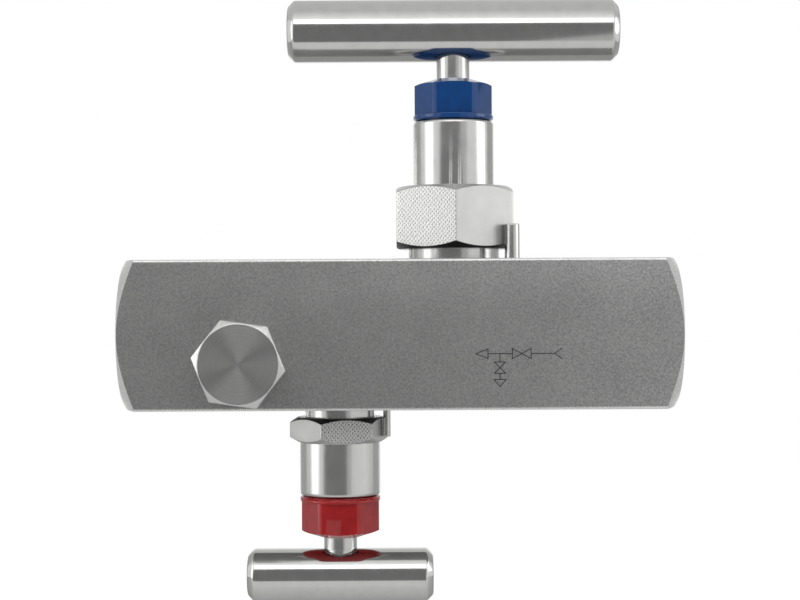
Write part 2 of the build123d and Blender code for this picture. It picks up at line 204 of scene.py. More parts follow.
# %% Cards
def card(name, corners, grey, far_grey=None):
    """A panel through four corners that shows in reflections, fading from grey to far_grey."""
    panel = start(name, bpy.ops.mesh.primitive_plane_add, size=1)
    for vertex, corner in zip(panel.data.vertices, corners):
        vertex.co = (STUDIO_MIDDLE + Vector(corner)) * MM
    panel.data.materials.append(bpy.data.materials.new(name))
    tree = tree_of(panel.active_material)
    tree.nodes.clear()
    sides = add(tree, "SeparateXYZ", Vector=add(tree, "TexCoord").outputs["UV"])
    fade = add(tree, "MapRange", Value=sides.outputs["Y"], To_Min=grey)
    fill(tree, fade, To_Max=grey if far_grey is None else far_grey)
    glow = add(tree, "Emission", Strength=fade.outputs["Result"])
    add(tree, "OutputMaterial", Surface=glow.outputs[0])
    panel.visible_camera = panel.visible_diffuse = panel.visible_shadow = False


def level_card(name, half_width, near, far, height, grey, far_grey=None):
    """A card that lies flat at a height."""
    left, right = -half_width, half_width
    corners = [(left, near, height), (right, near, height), (left, far, height), (right, far, height)]
    card(name, corners, grey, far_grey)


FLOOR_DROP, CARD_RAISE = 50.0, 0.5
floor_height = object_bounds()[0].z / MM - FLOOR_DROP
LENS_FOOT, LENS_TOP = (-165, floor_height), (-420, 223)
lens_corners = [(-208, *LENS_FOOT), (45, *LENS_FOOT), (-266, *LENS_TOP), (160, *LENS_TOP)]
shoulder_corners = [(45, *LENS_FOOT), (75, *LENS_FOOT), (160, *LENS_TOP), (370, *LENS_TOP)]
card("lens_card", lens_corners, 0.22)
card("shoulder_card", shoulder_corners, 0.60)
for side, name in ((-1, "back_card_left"), (1, "back_card_right")):
    near, far = (side * 430, 150), (side * 225, 390)
    card(name, [(*near, floor_height), (*far, floor_height), (*near, 300), (*far, 300)], 0.52)
level_card("ceiling_front", 500, -275, -70, 270, 1.35, 0.74)
level_card("ceiling_back", 500, -70, 500, 270, 0.72)
table_height = floor_height + CARD_RAISE
level_card("table_front", 600, -600, -70, table_height, 0.82)
level_card("table_middle", 600, -70, 60, table_height, 0.82, 0.42)
level_card("table_back", 600, 60, 400, table_height, 0.42)
print("floor at", round(floor_height, 1), "mm")

# %% [markdown]
# ## Floor and world
#
# The floor is a pale table top well below the lower handle. Its own colour is pale, and
# what the camera, a reflection or a refraction sees of it gets a little glow on top, which
# takes it to white and leaves the soft shadow. The world does the same: white where it is
# seen, and a softer grey where it only lights.

# %% Floor and world
FLOOR_GLOW, WORLD_LIGHT = 0.52, 0.55


def seen_ray(tree):
    """1 for camera, glossy and transmission rays, and 0 for the rays that only carry light."""
    path = add(tree, "LightPath").outputs
    either = larger(tree, path["Is Camera Ray"], path["Is Glossy Ray"])
    return larger(tree, either, path["Is Transmission Ray"])


floor = start("floor", bpy.ops.mesh.primitive_plane_add, size=8)
floor.location = Vector((BLOCK_MIDDLE, 0, floor_height)) * MM
floor.data.materials.append(bpy.data.materials.new("floor"))
tree = tree_of(floor.active_material)
glow = add(tree, "MapRange", Value=seen_ray(tree), To_Max=FLOOR_GLOW)
wear(tree, Base_Color=(0.80, 0.80, 0.80, 1), Roughness=0.9)
wear(tree, Emission_Color=(1, 1, 1, 1), Emission_Strength=glow.outputs["Result"])

world = bpy.data.worlds.new("studio")
bpy.context.scene.world = world
tree = tree_of(world)
level = add(tree, "MapRange", Value=seen_ray(tree), To_Min=WORLD_LIGHT, To_Max=1.0)
fill(tree, tree.nodes["Background"], Color=(1, 1, 1, 1), Strength=level.outputs["Result"])
print("world: 1.0 where it is seen,", WORLD_LIGHT, "where it only lights")

# %% [markdown]
# ## Tools of the bench
#
# Operators act on whatever is selected, so every step starts from a clean selection. The
# helpers below do that, and then do by code what a modeller does by hand: pick faces by
# where they lie, turn an outline on a lathe, cut one solid with another, and break edges.


# %% Selecting
def only(piece):
    """Select one piece alone."""
    bpy.ops.object.select_all(action="DESELECT")
    piece.select_set(True)
    bpy.context.view_layer.objects.active = piece


def pick(piece, kind, test):
    """In edit mode, select the faces or edges that pass a test, and count them."""
    mesh = bmesh.from_edit_mesh(piece.data)
    bpy.ops.mesh.select_all(action="DESELECT")
    bpy.ops.mesh.select_mode(type=kind)
    chosen = [item for item in (mesh.faces if kind == "FACE" else mesh.edges) if test(item)]
    for item in chosen:
        item.select_set(True)
    mesh.select_flush_mode()
    bmesh.update_edit_mesh(piece.data)
    return len(chosen)


def bevel_along(piece, axis, width, segments):
    """Bevel the edges that run along an axis, 0 for X and 2 for Z. The width is in mm."""
    def runs_along(edge):
        run = edge.verts[1].co - edge.verts[0].co
        return abs(run.normalized()[axis]) > 0.9

    only(piece)
    bpy.ops.object.mode_set(mode="EDIT")
    count = pick(piece, "EDGE", runs_along)
    bpy.ops.mesh.bevel(offset=width * MM, segments=segments, affect="EDGES")
    bpy.ops.object.mode_set(mode="OBJECT")
    print(piece.name, "edges bevelled:", count)


def shade(piece, angle=35):
    """Smooth shading, with edges sharper than the angle left crisp."""
    only(piece)
    bpy.ops.object.shade_smooth_by_angle(angle=radians(angle))


def soften(piece, width, segments=2, angle=28, split_large=False):
    """Break every sharp edge by a small round. Splitting large faces can even their shading."""
    only(piece)
    rounding = piece.modifiers.new("edges", "BEVEL")
    rounding.width = width * MM
    rounding.segments = segments
    rounding.limit_method = "ANGLE"
    rounding.angle_limit = radians(angle)
    bpy.ops.object.modifier_apply(modifier=rounding.name)
    if split_large:
        split = piece.modifiers.new("large_faces", "TRIANGULATE")
        split.min_vertices = 9
        bpy.ops.object.modifier_apply(modifier=split.name)
    shade(piece, 40)
    flats = piece.modifiers.new("flats", "WEIGHTED_NORMAL")
    flats.keep_sharp = True
    bpy.ops.object.modifier_apply(modifier=flats.name)
    return piece


# %% [markdown]
# A turned piece is drawn as half of its outline, point by point, and spun round the axis.
# Extruding a single vertex draws the outline. The spin leaves a seam and, on the axis,
# doubled points, so they are merged, and the normals are made to face outwards.


# %% Lathe
def turn(name, outline, steps=96):
    """Spin an outline of (radius, level) points in mm round Z. It ends on the axis or closes."""
    piece = start(name, bpy.ops.mesh.primitive_plane_add, size=MM)
    bpy.ops.object.mode_set(mode="EDIT")
    bpy.ops.mesh.select_mode(type="VERT")
    bpy.ops.mesh.select_all(action="SELECT")
    bpy.ops.mesh.merge(type="CENTER")
    radius, height = outline[0]
    bpy.ops.transform.translate(value=(radius * MM, 0, height * MM))
    for (radius, height), (next_radius, next_height) in zip(outline, outline[1:]):
        step = ((next_radius - radius) * MM, 0, (next_height - height) * MM)
        bpy.ops.mesh.extrude_region_move(TRANSFORM_OT_translate={"value": step})
    bpy.ops.mesh.select_all(action="SELECT")
    bpy.ops.mesh.spin(steps=steps, angle=2 * pi, center=(0, 0, 0), axis=(0, 0, 1))
    bpy.ops.mesh.select_all(action="SELECT")
    bpy.ops.mesh.remove_doubles(threshold=2e-6)
    bpy.ops.mesh.normals_make_consistent(inside=False)
    bpy.ops.object.mode_set(mode="OBJECT")
    return piece


def rod(name, radius, first, last, steps=96):
    """A plain turned rod between two levels."""
    return turn(name, [(0, first), (radius, first), (radius, last), (0, last)], steps)


# %% [markdown]
# A hexagon starts as a six-sided cylinder. Its corners are turned away on a lathe in real
# life, and here by keeping only what lies inside a turned shape. That gives the curved
# edges that every real nut has, which a simple bevel can't.

# %% Hexagon and saw
BEYOND = 1.0  # how far a tool reaches past the metal that it cuts
CLEARANCE = 0.03  # between two walls that fit together


def hexagon(name, flats, bottom, top, turned_by=0.0):
    """A hexagonal bar with a flat to the front, turned counter-clockwise seen from above."""
    return start(
        name, bpy.ops.mesh.primitive_cylinder_add, vertices=6,
        radius=flats / 2 / cos(radians(30)) * MM,
        depth=(top - bottom) * MM,
        location=(0, 0, (bottom + top) / 2 * MM),
        rotation=(0, 0, radians(turned_by - 30)),
    )


def work(piece, tool, how="DIFFERENCE"):
    """Cut a piece with a tool, keep what they share, or join them into one solid."""
    cut = piece.modifiers.new("cut", "BOOLEAN")
    cut.operation = how
    cut.solver = "EXACT"
    cut.object = tool
    only(piece)
    bpy.ops.object.modifier_apply(modifier=cut.name)
    bpy.data.objects.remove(tool)
    return piece


def settle(piece, rotation=(0, 0, 0), location=(0, 0, 0)):
    """Turn a piece, in degrees, and move it, in mm, and leave its object at the origin."""
    only(piece)
    piece.rotation_euler = [radians(angle) for angle in rotation]
    piece.location = Vector(location) * MM
    bpy.ops.object.transform_apply(location=True, rotation=True, scale=True)
    return piece


# %% [markdown]
# ## Finishes
#
# Every finish is a node material on Object coordinates, scaled to millimetres so that a
# grain of 0.3 means 0.3 mm. The helpers build what nearly all of them share: a colour that
# varies a little, a roughness that varies with it, and a fine bump.


# %% Finish helpers
def in_millimetres(tree, stretch=(1, 1, 1), turned_by=(0, 0, 0)):
    """Object coordinates in mm. Stretch above 1 packs a pattern tighter along that axis."""
    mapping = add(
        tree, "Mapping", Vector=add(tree, "TexCoord").outputs["Object"],
        Scale=[factor / MM for factor in stretch],
        Rotation=[radians(angle) for angle in turned_by],
    )
    return mapping.outputs["Vector"]


def grain(tree, size, detail=2.0, stretch=(1, 1, 1), roughness=0.5):
    """Noise with features of about that size in mm."""
    place = in_millimetres(tree, stretch)
    noise = add(tree, "TexNoise", Vector=place, Scale=1 / size, Detail=detail, Roughness=roughness)
    return noise.outputs["Fac"]


def spread(tree, value, low, high):
    """Map a noise to the range that a socket needs."""
    fit = add(tree, "MapRange", Value=value, From_Min=0.3, From_Max=0.7, To_Min=low, To_Max=high)
    return fit.outputs["Result"]


def tint(tree, value, dark, light):
    """Run from a dark colour to a light one with a noise."""
    ramp = add(tree, "ValToRGB", Fac=value)
    for stop, place, colour in zip(ramp.color_ramp.elements, (0.3, 0.7), (dark, light)):
        stop.position = place
        stop.color = (*colour, 1)
    return ramp.outputs["Color"]


def emboss(tree, value, depth):
    """Lay a height in mm on the surface. A second call goes on top of the first."""
    bump = add(tree, "Bump", Height=value, Distance=depth * MM)
    for below in tree.nodes["Principled BSDF"].inputs["Normal"].links:
        fill(tree, bump, Normal=below.from_socket)
    wear(tree, Normal=bump.outputs["Normal"])


def darker(colour, share):
    """A colour with each channel times a share."""
    return [channel * share for channel in colour]


# %% [markdown]
# The block is blasted bar: dull, with a fine sparkling grain and slow clouds of tone. The
# grain goes in the colour, the roughness and the bump together, because on a real blasted
# face the same pits do all three.


# %% Blasted steel
def blasted_steel(tree):
    pits = grain(tree, 0.42, 3.0, roughness=0.6)
    clouds = grain(tree, 9.0, 2.0)
    colour = add(tree, "Mix")
    colour.data_type = "RGBA"
    colour.blend_type = "MULTIPLY"
    fill(
        tree, colour, Factor=1.0,
        A=tint(tree, pits, (0.27, 0.27, 0.268), (0.50, 0.50, 0.495)),
        B=tint(tree, clouds, (0.92, 0.92, 0.92), (1.0, 1.0, 1.0)),
    )
    wear(
        tree, Metallic=1.0, Base_Color=colour.outputs["Result"],
        Roughness=spread(tree, pits, 0.52, 0.42),
    )
    emboss(tree, pits, 0.024)


# %% [markdown]
# Turned steel carries fine rings round its axis, which smear every reflection along the
# axis and leave it sharp across it. `Anisotropic` does the smearing, along the direction
# that `Tangent` gives. Noise that is packed along the axis adds the rings themselves.


# %% Turned steel
def turned_steel(tree, colour, roughness, axis=(0, 0, 1), smear=0.5, ring_depth=0.0012):
    rings = grain(tree, 0.12, 2.0, [1.0 if part else 0.02 for part in axis])
    smears = grain(tree, 3.0, 3.0)
    direction = add(tree, "CombineXYZ", **dict(zip("XYZ", axis)))
    wear(
        tree, Metallic=1.0, Base_Color=tint(tree, smears, darker(colour, 0.93), colour),
        Roughness=spread(tree, smears, roughness * 0.9, roughness * 1.1),
        Anisotropic=smear, Tangent=direction.outputs[0],
    )
    emboss(tree, rings, ring_depth)


# %% [markdown]
# A face that a lathe has cut smears outwards from its centre instead, so its highlight
# becomes a cross of bright fans. The tangent there is the arm from the centre.


# %% Faced steel
def faced_steel(tree, colour, roughness, centre):
    arm = add(tree, "VectorMath", Vector=add(tree, "TexCoord").outputs["Object"])
    arm.operation = "SUBTRACT"
    arm.inputs[1].default_value = Vector(centre) * MM
    length = add(tree, "VectorMath", Vector=arm.outputs[0])
    length.operation = "LENGTH"
    rings = add(tree, "TexNoise", Scale=1 / (0.25 * MM))
    rings.noise_dimensions = "1D"
    fill(tree, rings, W=length.outputs["Value"])
    smears = grain(tree, 2.0, 3.0)
    wear(
        tree, Metallic=1.0, Base_Color=tint(tree, rings.outputs[0], darker(colour, 0.86), colour),
        Roughness=spread(tree, smears, roughness * 0.9, roughness * 1.1),
        Anisotropic=0.96, Tangent=arm.outputs[0],
    )
    emboss(tree, rings.outputs[0], 0.0015)


# %% [markdown]
# The flats of a nut show how the bar was made. Most are smooth and satin. One on each
# bonnet is coarse, with a crossed tooling pattern, and gets a finish of its own.


# %% Hexagon finishes
def satin_steel(tree, colour, roughness):
    fine = grain(tree, 0.25, 3.0)
    broad = grain(tree, 4.0, 3.0)
    wear(
        tree, Metallic=1.0, Base_Color=tint(tree, broad, darker(colour, 0.9), colour),
        Roughness=spread(tree, fine, roughness * 0.85, roughness * 1.2),
    )
    emboss(tree, fine, 0.004)


def ridges(tree, lean):
    """Fine wavy ridges that lean by an angle on a flat that faces the front."""
    place = in_millimetres(tree, turned_by=(0, lean, 0))
    wave = add(tree, "TexWave", Vector=place, Scale=0.52, Distortion=3.5, Detail=2.0, Detail_Scale=2.0)
    return wave.outputs["Fac"]


def coarse_steel(tree, dark, depth):
    """Crossed tooling marks: two sets of fine slanting ridges, broken up by noise."""
    crossed = larger(tree, ridges(tree, 40), ridges(tree, -40))
    colour = tint(tree, crossed, (dark, dark, dark), STEEL)
    wear(tree, Metallic=1.0, Base_Color=colour, Roughness=0.34)
    emboss(tree, crossed, depth)
    emboss(tree, grain(tree, 0.3, 3.0), 0.012)


# %% [markdown]
# The caps are moulded plastic. A mould leaves a faint orange peel and a slight unevenness
# of tone, and the gloss of the surface does the rest.


# %% Moulded plastic
def moulded_plastic(tree, dark, light):
    cloudy = grain(tree, 3.5, 2.0)
    peel = grain(tree, 0.8, 2.0)
    wear(
        tree, Metallic=0.0, IOR=1.49, Base_Color=tint(tree, cloudy, dark, light),
        Roughness=spread(tree, peel, 0.07, 0.11),
    )
    emboss(tree, peel, 0.003)


# %% [markdown]
# The pieces inside the valves have plain working finishes: soft iron for the seals, grey
# packing, and the black of a laser mark for the flow diagram.


# %% Inside finishes and marks
def soft_finish(tree, dark, light, roughness, size, metallic=0.0):
    mottle = grain(tree, size, 3.0)
    wear(
        tree, Metallic=metallic, Base_Color=tint(tree, mottle, dark, light),
        Roughness=spread(tree, mottle, roughness * 0.85, roughness),
    )
    emboss(tree, mottle, 0.01)


# %% [markdown]
# One table now holds the recipe of every finish: its function, and what that is given. Most
# names are also those of the slots in the CAD record. The others are for a piece's details.

# %% Make the finishes
STEEL = (0.58, 0.58, 0.572)
plug_low, plug_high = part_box("vent_plug")
PLUG_CENTRE = (plug_low + plug_high) / 2 / MM
PLUG_FACE = (PLUG_CENTRE.x, plug_low.y / MM, PLUG_CENTRE.z)
RECIPES = {
    "blasted_steel": (blasted_steel,),
    # smoother steel for the machined edges; its colour, lighter than the steel's own, is a painted
    # highlight
    "edge_steel_painted_highlight": (satin_steel, (0.86, 0.86, 0.85), 0.28),
    "bonnet_steel": (turned_steel, STEEL, 0.23),
    "hex_steel": (satin_steel, STEEL, 0.32),
    "coarse_steel": (coarse_steel, 0.44, 0.03),
    "rough_steel": (coarse_steel, 0.30, 0.06),
    # painted shade: near-black steel on the turned corners next to the block, where shadow falls
    "corner_painted_shade": (satin_steel, (0.13, 0.13, 0.13), 0.30),
    "plug_steel": (faced_steel, (0.42, 0.42, 0.415), 0.50, PLUG_FACE),
    "stem_steel": (turned_steel, STEEL, 0.22),
    "handle_steel": (turned_steel, (0.60, 0.60, 0.592), 0.13, (1, 0, 0), 0.3, 0.0004),
    "pin_steel": (turned_steel, STEEL, 0.22),
    "screw_steel": (satin_steel, (0.42, 0.42, 0.42), 0.34),
    "seal_iron": (soft_finish, (0.20, 0.19, 0.18), (0.32, 0.31, 0.30), 0.55, 0.5, 1.0),
    "packing": (soft_finish, (0.10, 0.10, 0.11), (0.17, 0.17, 0.18), 0.6, 0.4),
    "cap_blue": (moulded_plastic, (0.0016, 0.050, 0.20), (0.0024, 0.062, 0.25)),
    "cap_red": (moulded_plastic, (0.33, 0.008, 0.010), (0.41, 0.013, 0.016)),
    "laser_mark": (soft_finish, (0.012, 0.012, 0.013), (0.03, 0.03, 0.03), 0.6, 0.2),
}
finishes = {}
for name, (recipe, *sizes) in RECIPES.items():
    finishes[name] = bpy.data.materials.new(name)
    recipe(tree_of(finishes[name]), *sizes)
print("finishes:", ", ".join(finishes))

# %% [markdown]
# A finished piece then gets its material, the body that it rides on, and the CAD node that
# it stands for. `dress` does the three together. Where a piece is machined here
# and rough there, `paint` gives some of its faces a finish of their own, as is done by hand
# in edit mode: select the faces, pick the material slot, assign.


# %% Dressing a piece
def dress(piece, finish_name, body, replaces=None):
    """Give a finished piece its material, its body and the CAD node it stands for."""
    if finish_name:
        piece.data.materials.clear()
        piece.data.materials.append(finishes[finish_name])
    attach(piece, body)
    if replaces:
        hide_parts(replaces)
    return piece


def paint(piece, finish_name, test):
    """Give a finish to the faces whose middle, in mm, and normal pass a test."""
    piece.data.materials.append(finishes[finish_name])
    only(piece)
    bpy.ops.object.mode_set(mode="EDIT")
    count = pick(piece, "FACE", lambda face: test(face.calc_center_median() / MM, face.normal))
    piece.active_material_index = len(piece.data.materials) - 1
    bpy.ops.object.material_slot_assign()
    bpy.ops.object.mode_set(mode="OBJECT")
    print(piece.name, "wears", finish_name, "on", count, "faces")


# %% [markdown]
# ## CAD nodes that stay
#
# The pieces inside the valves are plain rings and cones. Their CAD solids are right as
# they are, so they only get their finishes. Assigning the material to each slot keeps the
# CAD mesh untouched. The pieces that show are modelled further down and replace theirs.

# %% Finish the CAD nodes
INSIDE_FINISHES = {
    "bonnet_seal": "seal_iron",
    "packing_washer": "seal_iron",
    "packing_rings": "packing",
    "gland_bush": "bonnet_steel",
    "gland_nut": "bonnet_steel",
    "stem_tip": "stem_steel",
}
for node_name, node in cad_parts.items():
    kind = node_name.split("_", 1)[1]
    if not node.data.materials:
        node.data.materials.append(None)
    for index in range(len(node.data.materials)):
        node.data.materials[index] = finishes[INSIDE_FINISHES.get(kind, "bonnet_steel")]
print("CAD nodes with a finish:", len(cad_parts))

# %% [markdown]
# ## The two valves
#
# Both are built alike and differ in size, so their sizes go in one small class. Every
# piece is made standing on the block's face, with Z along its stem, and then set in its
# place: the isolation valve moves up, and the bleed valve turns over and moves down. The
# levels along the stem are read from the CAD boxes, so they can't drift from the model.


# %% Sizes of the valves
@dataclass
class Valve:
    """Sizes in mm, angles in degrees. Levels count from the block's face, along the stem."""

    name: str
    neck: float
    neck_height: float
    flats: float
    hex_height: float
    hex_turn: float
    coarse_flat: float  # direction that its coarse flat faces
    coarse_finish: str
    stem_end: float

    def __post_init__(self):
        self.x = self.middle("stem").x
        self.hex_top = self.neck_height + self.hex_height
        self.barrel_top = self.levels("bonnet")[1]
        self.packing_floor = self.levels("packing_washer")[0]
        self.cap_bottom, self.cap_top = self.levels("dust_cap")
        self.stem_bottom, self.stem_top = self.levels("stem")
        self.bar_underside, bar_top = self.levels("handle_bar")
        self.bar_axis = (self.bar_underside + bar_top) / 2
        self.bar_diameter = bar_top - self.bar_underside
        self.bar_length = self.spans("handle_bar").x
        self.pin_bottom, self.pin_top = self.levels("lock_pin")
        self.pin_diameter = self.spans("lock_pin").x

    def middle(self, kind):
        low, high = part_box(f"{self.name}_{kind}")
        return (low + high) / 2 / MM

    def spans(self, kind):
        low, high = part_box(f"{self.name}_{kind}")
        return (high - low) / MM

    def levels(self, kind):
        """The two ends of a CAD node along the stem, the inner one first."""
        low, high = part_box(f"{self.name}_{kind}")
        ends = (low.z, high.z) if self.name == "isolation" else (-high.z, -low.z)
        return [end / MM - HALF_BAR for end in ends]

    def pin_place(self):
        """Where the lock pin stands, in the valve's own frame."""
        place = self.middle("lock_pin")
        across = place.x - self.x
        return (across if self.name == "isolation" else -across, place.y, 0)

    def stand(self, piece):
        """Move a piece from the valve's own frame to its place on the block."""
        if self.name == "isolation":
            return settle(piece, location=(self.x, 0, HALF_BAR))
        return settle(piece, rotation=(0, 180, 0), location=(self.x, 0, -HALF_BAR))


isolation = Valve(
    "isolation", neck=19.7, neck_height=2.3, flats=25.0, hex_height=13.5, hex_turn=30.0,
    coarse_flat=-120.0, coarse_finish="coarse_steel", stem_end=7.2,
)
bleed = Valve(
    "bleed", neck=15.0, neck_height=2.15, flats=19.05, hex_height=5.4, hex_turn=-10.5,
    coarse_flat=-100.5, coarse_finish="rough_steel", stem_end=6.3,
)
VALVES = (isolation, bleed)
for valve in VALVES:
    print(valve.name, "cap top", round(valve.cap_top, 2), "bar", round(valve.bar_length, 1), "mm long")

# %% [markdown]
# ## The block
#
# It starts as a long cube. The four long edges are bevelled first, while they are still
# plain edges. Then the ends are turned: a lathe shape with sloping shoulders keeps only
# what a turning tool would leave, and its cones bow the ends of the four faces.

# %% Square bar with turned ends
BAR_LENGTH = (BLOCK_HIGH.x - BLOCK_LOW.x) / MM
EDGE_BREAK, END_DISC, END_SLOPE = 0.6, 31.2, 30.0


def turned_bar():
    bar = start(
        "block", bpy.ops.mesh.primitive_cube_add, size=1,
        location=(BLOCK_MIDDLE * MM, 0, 0),
        scale=Vector((BAR_LENGTH + 2 * BEYOND, 2 * HALF_BAR, 2 * HALF_BAR)) * MM,
    )
    bevel_along(bar, 0, EDGE_BREAK, 3)
    corner = HALF_BAR * sqrt(2) + BEYOND
    end, disc = BAR_LENGTH / 2, END_DISC / 2
    shoulder = end - (corner - disc) * tan(radians(END_SLOPE))
    half = [(corner, shoulder), (disc, end), (0, end)]
    lathe = turn("lathe", [*[(r, -level) for r, level in reversed(half)], *half], 192)
    return work(bar, settle(lathe, (0, 90, 0), (BLOCK_MIDDLE, 0, 0)), "INTERSECT")


block = turned_bar()

# %% [markdown]
# Everything that is drilled is cut the way it is drilled: each tool is a turned shape, set
# in place and taken away from the bar. The ports come first. Their mouths are countersunk,
# and the passages start at their floors.

# %% Ports and passages
PORT_BORE, PORT_MOUTH, PORT_DEPTH = 13.2, 14.8, 14.0
PORT_LIP = (PORT_MOUTH - PORT_BORE) / 2
INLET_THREAD = BLOCK_HIGH.x / MM - PORT_LIP
OUTLET_THREAD = BLOCK_LOW.x / MM + PORT_LIP
PASSAGE_BORE, PASSAGE_OFFSET = 4.5, 3.2
DRILL_TIP, DRILL_POINT = 0.2, 59.0  # radius of the tip, and half the angle of the point


def drill(diameter, depth):
    """A drill bit that points down Z from level 0, with the flat of its chisel edge."""
    radius = diameter / 2
    shoulder = (radius - DRILL_TIP) / tan(radians(DRILL_POINT)) - depth
    outline = [(0, 0), (radius, 0), (radius, shoulder), (DRILL_TIP, -depth), (0, -depth)]
    return turn("drill", outline, 48)


def port_tool():
    """The bore of a port and its countersunk mouth, from level 0 down."""
    mouth, lip, wall = PORT_MOUTH / 2 + BEYOND, PORT_LIP + BEYOND, PORT_BORE / 2
    outline = [(0, lip), (mouth, lip), (wall, 0), (wall, -PORT_DEPTH), (0, -PORT_DEPTH)]
    return turn("port", outline, 128)


inlet_run = INLET_THREAD - PORT_DEPTH + BEYOND - isolation.x + PASSAGE_BORE
outlet_run = isolation.x - OUTLET_THREAD - PORT_DEPTH + BEYOND
inlet_start = (INLET_THREAD - PORT_DEPTH + BEYOND, 0, -PASSAGE_OFFSET)
outlet_start = (OUTLET_THREAD + PORT_DEPTH - BEYOND, 0, PASSAGE_OFFSET)
work(block, settle(port_tool(), (0, 90, 0), (INLET_THREAD, 0, 0)))
work(block, settle(port_tool(), (0, -90, 0), (OUTLET_THREAD, 0, 0)))
work(block, settle(drill(PASSAGE_BORE, inlet_run), (0, 90, 0), inlet_start))
work(block, settle(drill(PASSAGE_BORE, outlet_run), (0, -90, 0), outlet_start))
print("passages:", round(inlet_run, 1), "and", round(outlet_run, 1), "mm long")

# %% [markdown]
# The block gets a stepped bore for each valve, down to the seat and on to the passages,
# and a blind hole for each lock pin.

# %% Bores of the valves in the block
SEAL_LEVEL, SEAT_LEVEL = -8.9, 0.7 - HALF_BAR
CHAMBER_BORE, SEAT_BORE = 10.0, 4.0


def bore_tools(valve):
    """The stepped bore of a valve and the hole of its pin."""
    bore = valve.neck / 2 + CLEARANCE
    chamber, seat, passage = CHAMBER_BORE / 2, SEAT_BORE / 2, -HALF_BAR - PASSAGE_OFFSET
    outline = [
        (0, BEYOND), (bore, BEYOND), (bore, SEAL_LEVEL), (chamber, SEAL_LEVEL),
        (chamber, SEAT_LEVEL), (seat, SEAT_LEVEL), (seat, passage), (0, passage),
    ]
    pin_hole = rod("pin_hole", valve.pin_diameter / 2 + CLEARANCE, BEYOND, valve.pin_bottom, 48)
    return turn("bore", outline), settle(pin_hole, location=valve.pin_place())


for valve in VALVES:
    for tool in bore_tools(valve):
        work(block, valve.stand(tool))
print("block after its bores:", len(block.data.polygons), "faces")

# %% [markdown]
# The vent port opens in the front face, where the plug goes. Last, the edges that a lathe
# or a file has touched are given a smoother finish than the blasted faces, and a colour
# lighter than the steel's own, a painted highlight: the long broken edges, the turned ends
# and their cones.


# %% Vent port and bright edges
VENT_DEPTH, END_REACH = 13.0, 6.0


def machined(middle, facing):
    """True for the block's broken edges and turned ends."""
    edge = abs(facing.x) < 0.1 and min(abs(facing.y), abs(facing.z)) > 0.1
    outside = max(abs(middle.y), abs(middle.z)) > HALF_BAR - EDGE_BREAK
    end = abs(facing.x) > 0.5 and abs(middle.x - BLOCK_MIDDLE) > BAR_LENGTH / 2 - END_REACH
    return (edge and outside) or end


vent_place = (PLUG_CENTRE.x, -HALF_BAR, PLUG_CENTRE.z)
work(block, settle(rod("vent_port", PORT_BORE / 2, BEYOND, -VENT_DEPTH), (90, 0, 0), vent_place))
dress(block, "blasted_steel", "root", "valve_block")
# the machined edges get a smoother finish and a painted highlight, a colour lighter than the steel
paint(block, "edge_steel_painted_highlight", machined)
shade(block, 28)

# %% [markdown]
# ## The flow diagram
#
# A plain line diagram of the valves is marked on the front face: the line through the
# isolation valve, and the branch through the bleed valve. Each stroke is a thin slab, sunk
# a little into the face, and the strokes are joined into one piece.

# %% Flow diagram
MARK_WIDTH, MARK_HEIGHT, MARK_SUNK = 0.2, 0.04, 0.02
BRANCH = (BLOCK_MIDDLE + 20.8, -4.1)


def stroke(first, last):
    """A slab from one place to the next. Places are (x, z) in mm from the branch."""
    run = Vector(last) - Vector(first)
    middle = Vector(BRANCH) + (Vector(first) + Vector(last)) / 2
    return start(
        "stroke", bpy.ops.mesh.primitive_cube_add, size=1,
        location=Vector((middle.x, MARK_SUNK - MARK_HEIGHT / 2 - HALF_BAR, middle.y)) * MM,
        rotation=(0, -atan2(run.y, run.x), 0),
        scale=Vector((run.length + MARK_WIDTH, MARK_HEIGHT, MARK_WIDTH)) * MM,
    )


def figure(*places):
    """Strokes from place to place."""
    return [stroke(first, last) for first, last in zip(places, places[1:])]


def across(first, last, half_width):
    """Two places as vectors, and the step to the side of the line between them."""
    first, last = Vector(first), Vector(last)
    along = (last - first).normalized()
    return first, last, Vector((-along.y, along.x)) * half_width


def bow_tie(*line):
    """The sign of a valve: two triangles, point to point, between two places on a line."""
    first, last, side = across(*line)
    return figure(first + side, first - side, last + side, last - side, first + side)


def arrowhead(*line):
    """A hollow triangle with its point at the end of a line."""
    base, tip, side = across(*line)
    return figure(base + side, tip, base - side, base + side)


strokes = [
    *arrowhead((-2.5, 0), (-5.05, 0), 1.0),
    *figure((-2.5, 0), (2.6, 0)),
    *bow_tie((2.6, 0), (6.5, 0), 1.05),
    *figure((6.5, 0), (11.4, 0), (12.9, 1.07)),
    *figure((11.4, 0), (12.9, -1.07)),
    *figure((0, 0), (0, -1.75)),
    *bow_tie((0, -1.75), (0, -4.1), 1.15),
    *figure((0, -4.1), (0, -5.4)),
    *arrowhead((0, -5.4), (0, -6.85), 1.3),
]
bpy.ops.object.select_all(action="DESELECT")
for line in strokes:
    line.select_set(True)
bpy.context.view_layer.objects.active = strokes[0]
bpy.ops.object.join()
diagram = bpy.context.object
diagram.name = "flow_diagram"
bpy.context.scene.cursor.location = (0, 0, 0)
bpy.ops.object.origin_set(type="ORIGIN_CURSOR")
dress(diagram, "laser_mark", "root")
print("strokes of the flow diagram:", len(diagram.data.polygons) // 6)

# %% [markdown]
# ## Port threads
#
# A thread is one triangle that climbs as it goes round. The Screw modifier does that with
# a triangle of three points set at the wall of the port: its screw value is the pitch, and
# its iterations are the turns.

# %% Thread coil
THREADS_PER_INCH = 18
THREAD_PITCH = 25.4 / THREADS_PER_INCH
THREAD_TURNS, THREAD_MOUTH = 8, 0.9
THREAD_HEIGHT, THREAD_SUNK = 0.75, 0.03
THREAD_FILL = 0.92  # share of the pitch that the foot of the ridge covers


